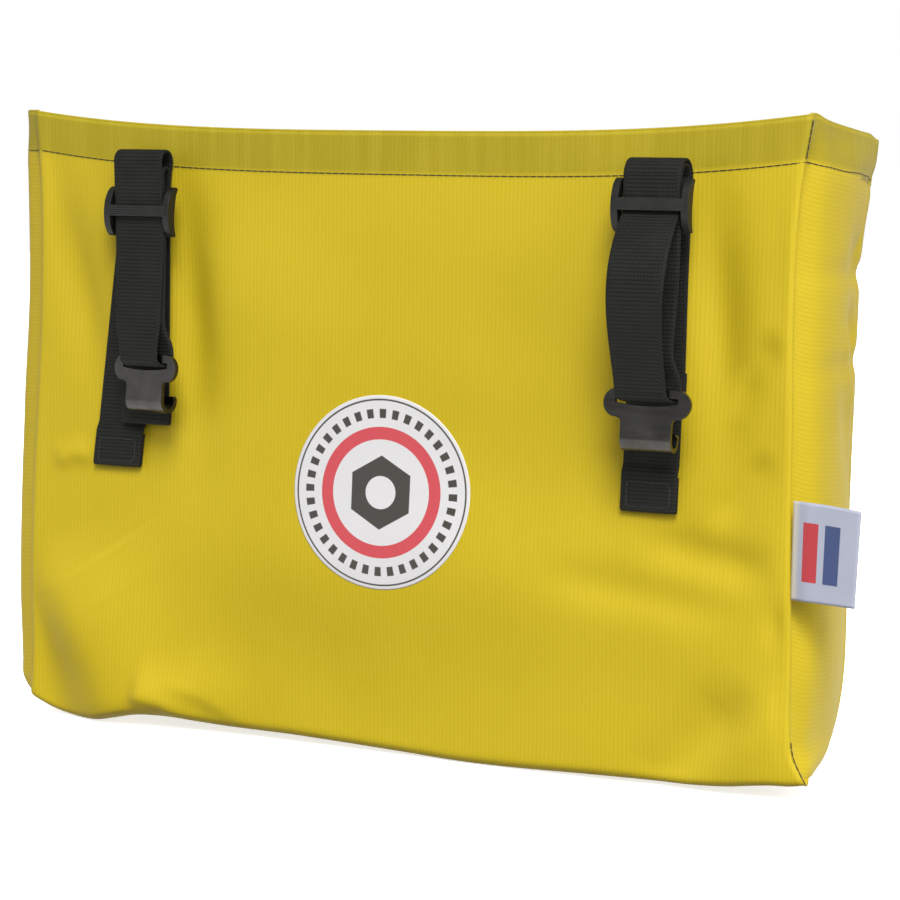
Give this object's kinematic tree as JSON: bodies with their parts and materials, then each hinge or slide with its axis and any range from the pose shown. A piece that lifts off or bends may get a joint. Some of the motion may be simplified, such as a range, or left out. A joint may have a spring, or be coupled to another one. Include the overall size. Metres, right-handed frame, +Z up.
{
  "type": "debris collection bag",
  "caption": "Open-topped cloth bag for loose debris, with hanging straps on its front that swing up, slides that adjust them and J hooks that pivot.",
  "frame": {"origin": "on the flat of the bottom, midway between the sides and between the front and back walls", "axes": "+X towards the bag's right side as seen from the front, +Y towards the back, +Z up; the straps are on the -Y side"},
  "size_m": [0.4052, 0.1177, 0.288],
  "materials": {
    "bag_cloth": "yellow coated nylon, plain weave, slight sheen",
    "hem_cloth": "the same cloth folded double",
    "binding_tape": "black woven tape",
    "webbing": "black ribbed webbing",
    "thread": "black sewing thread",
    "black_nylon": "satin moulded plastic",
    "black_steel": "black satin coated steel",
    "label_vinyl": "white satin label",
    "tag_cloth": "white satin ribbon"
  },
  "bodies": {
    "bag": {"front_panel": "bag_cloth", "back_panel": "bag_cloth", "bottom_panel": "bag_cloth", "left_gusset": "bag_cloth", "right_gusset": "bag_cloth", "front_hem": "hem_cloth", "back_hem": "hem_cloth", "left_hem": "hem_cloth", "right_hem": "hem_cloth", "hem_stitching": "thread", "left_seam_binding": "binding_tape", "right_seam_binding": "binding_tape", "round_label": "label_vinyl", "left_anchor_webbing": "webbing", "left_strap_fold": "webbing", "left_box_stitch": "thread", "left_hem_tack": "thread", "right_anchor_webbing": "webbing", "right_strap_fold": "webbing", "right_box_stitch": "thread", "right_hem_tack": "thread"},
    "side_tag": {"side_tag": "tag_cloth"},
    "left_strap": {"left_strap_webbing": "webbing"},
    "left_slide": {"left_tri_glide": "black_nylon"},
    "left_hanger": {"left_hook": "black_steel"},
    "right_strap": {"right_strap_webbing": "webbing"},
    "right_slide": {"right_tri_glide": "black_nylon"},
    "right_hanger": {"right_hook": "black_steel"}
  },
  "joints": [
    {"name": "tag_flap", "type": "hinge", "parent": "bag", "child": "side_tag", "pos_m": [0.1911, -0.0465, 0.108], "axis": [0, 0, 1], "range_deg": [-150, 85], "stiffness_Nm_per_rad": 0.0005},
    {"name": "left_strap_swing", "type": "hinge", "parent": "bag", "child": "left_strap", "pos_m": [-0.125, -0.0525, 0.2654], "axis": [-1, 0, 0], "range_deg": [0, 150], "deforming": ["left_strap_fold"]},
    {"name": "left_glide_slide", "type": "slide", "parent": "left_strap", "child": "left_slide", "axis": [-0.0885, 0.0955, 0.9915], "range_m": [-0.034, 0.003]},
    {"name": "left_hook_pivot", "type": "hinge", "parent": "left_strap", "child": "left_hanger", "pos_m": [-0.117, -0.06292, 0.17599], "axis": [-0.9744, 0.2239, -0.0216], "range_deg": [0, 110]},
    {"name": "right_strap_swing", "type": "hinge", "parent": "bag", "child": "right_strap", "pos_m": [0.126, -0.0551, 0.262], "axis": [-1, 0, 0], "range_deg": [0, 150], "deforming": ["right_strap_fold"]},
    {"name": "right_glide_slide", "type": "slide", "parent": "right_strap", "child": "right_slide", "axis": [-0.0222, 0.0871, 0.9959], "range_m": [-0.042, 0.001]},
    {"name": "right_hook_pivot", "type": "hinge", "parent": "right_strap", "child": "right_hanger", "pos_m": [0.128, -0.06733, 0.17273], "axis": [-1, 0, 0], "range_deg": [0, 110]}
  ]
}
